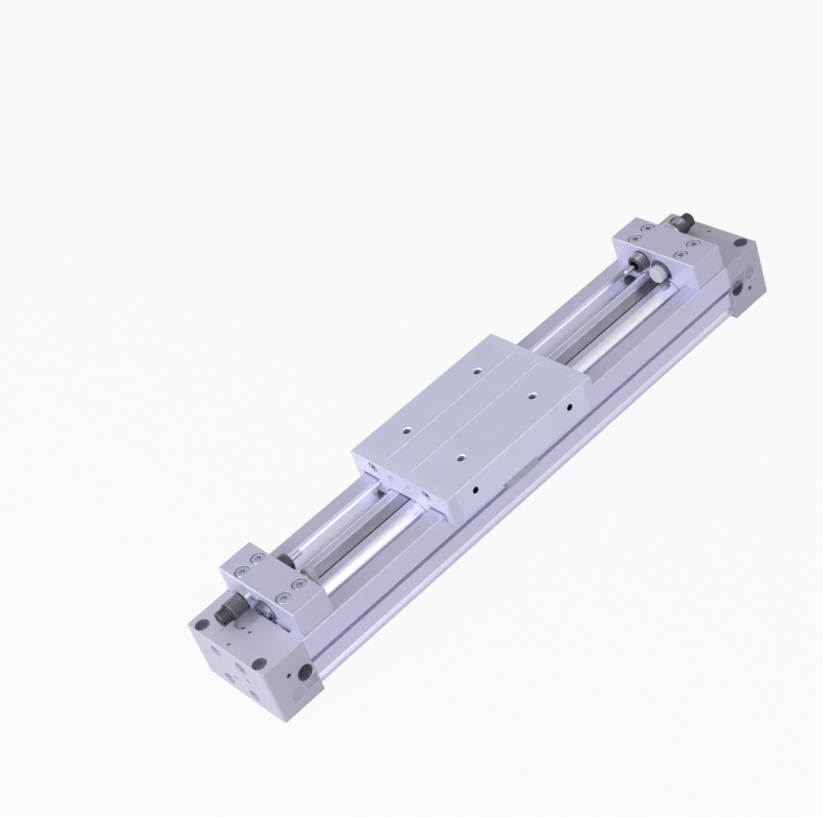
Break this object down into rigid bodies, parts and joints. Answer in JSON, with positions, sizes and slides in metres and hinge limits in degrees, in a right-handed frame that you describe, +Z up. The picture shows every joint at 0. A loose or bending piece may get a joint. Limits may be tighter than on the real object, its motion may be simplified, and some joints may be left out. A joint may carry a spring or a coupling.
{
  "type": "rodless pneumatic cylinder",
  "caption": "Air cylinder without a piston rod, whose table slides on the guide rails of its barrel between a shock absorber and a screw stop at each end.",
  "frame": {"origin": "under the middle of the barrel, midway between the two head covers, in the plane their feet stand on", "axes": "+X along the stroke, +Y towards the side with the shock absorbers, +Z up through the table"},
  "size_m": [0.35, 0.072, 0.049],
  "materials": {
    "tube_anodised": "satin clear anodised extrusion",
    "cover_anodised": "matt blasted and anodised casting",
    "table_anodised": "satin clear anodised",
    "block_aluminium": "machined",
    "piston_aluminium": "machined",
    "stainless_band": "cold rolled stainless",
    "belt_plastic": "smooth urethane",
    "zinc_steel": "zinc plated",
    "black_steel": "black zinc plated",
    "rod_steel": "hard chromed",
    "seal_rubber": "matt nitrile rubber",
    "shoe_resin": "filled resin",
    "bumper_urethane": "translucent urethane",
    "magnet_grey": "sintered"
  },
  "bodies": {
    "cylinder": {"cylinder_tube": "tube_anodised", "seal_belt": "belt_plastic", "dust_seal_band": "stainless_band", "head_cover_left": "cover_anodised", "head_cover_right": "cover_anodised", "belt_clamp_left": "cover_anodised", "belt_clamp_right": "cover_anodised", "belt_clamp_screws_left": "zinc_steel", "belt_clamp_screws_right": "zinc_steel", "head_cover_screws_left": "zinc_steel", "head_cover_screws_right": "zinc_steel", "head_cover_seal_left": "seal_rubber", "head_cover_seal_right": "seal_rubber", "cushion_boss_left": "rod_steel", "cushion_boss_right": "rod_steel", "cushion_needles_left": "zinc_steel", "cushion_needles_right": "zinc_steel", "end_plugs_left": "zinc_steel", "end_plugs_right": "zinc_steel", "port_plug_left": "zinc_steel", "port_plug_right": "zinc_steel", "adjuster_holder_left": "table_anodised", "adjuster_holder_right": "table_anodised", "holder_screws_left": "zinc_steel", "holder_screws_right": "zinc_steel", "fixing_blocks_left": "block_aluminium", "fixing_blocks_right": "block_aluminium", "shock_absorber_body_left": "black_steel", "shock_absorber_body_right": "black_steel", "shock_lock_nut_left": "zinc_steel", "shock_lock_nut_right": "zinc_steel", "stop_lock_nut_left": "zinc_steel", "stop_lock_nut_right": "zinc_steel"},
    "carriage": {"slide_table": "table_anodised", "slide_bearing_back": "shoe_resin", "slide_bearing_front": "shoe_resin", "bearing_screws": "zinc_steel", "piston_yoke": "piston_aluminium", "magnet_carrier": "table_anodised", "magnet": "magnet_grey", "end_plate_left": "table_anodised", "end_plate_right": "table_anodised", "end_plate_screws_left": "zinc_steel", "end_plate_screws_right": "zinc_steel", "scraper_left": "seal_rubber", "scraper_right": "seal_rubber", "piston_left": "piston_aluminium", "piston_right": "piston_aluminium", "piston_packing_left": "seal_rubber", "piston_packing_right": "seal_rubber", "wear_ring_left": "shoe_resin", "wear_ring_right": "shoe_resin"},
    "shock_plunger_left": {"shock_rod_left": "rod_steel"},
    "stop_left": {"adjusting_bolt_left": "zinc_steel", "stop_bumper_left": "bumper_urethane"},
    "shock_plunger_right": {"shock_rod_right": "rod_steel"},
    "stop_right": {"adjusting_bolt_right": "zinc_steel", "stop_bumper_right": "bumper_urethane"}
  },
  "joints": [
    {"name": "carriage_slide", "type": "slide", "parent": "cylinder", "child": "carriage", "axis": [1, 0, 0], "range_m": [-0.0582, 0.0734], "deforming": ["dust_seal_band", "seal_belt"]},
    {"name": "shock_rod_left_slide", "type": "slide", "parent": "cylinder", "child": "shock_plunger_left", "axis": [-1, 0, 0], "range_m": [0, 0.006], "stiffness_N_per_m": 377, "springref_m": -0.0052},
    {"name": "shock_rod_right_slide", "type": "slide", "parent": "cylinder", "child": "shock_plunger_right", "axis": [1, 0, 0], "range_m": [0, 0.006], "stiffness_N_per_m": 377, "springref_m": -0.0052},
    {"name": "stop_left_adjust", "type": "slide", "parent": "cylinder", "child": "stop_left", "axis": [1, 0, 0], "range_m": [0, 0.0038]},
    {"name": "stop_right_adjust", "type": "slide", "parent": "cylinder", "child": "stop_right", "axis": [-1, 0, 0], "range_m": [0, 0.0038]}
  ]
}
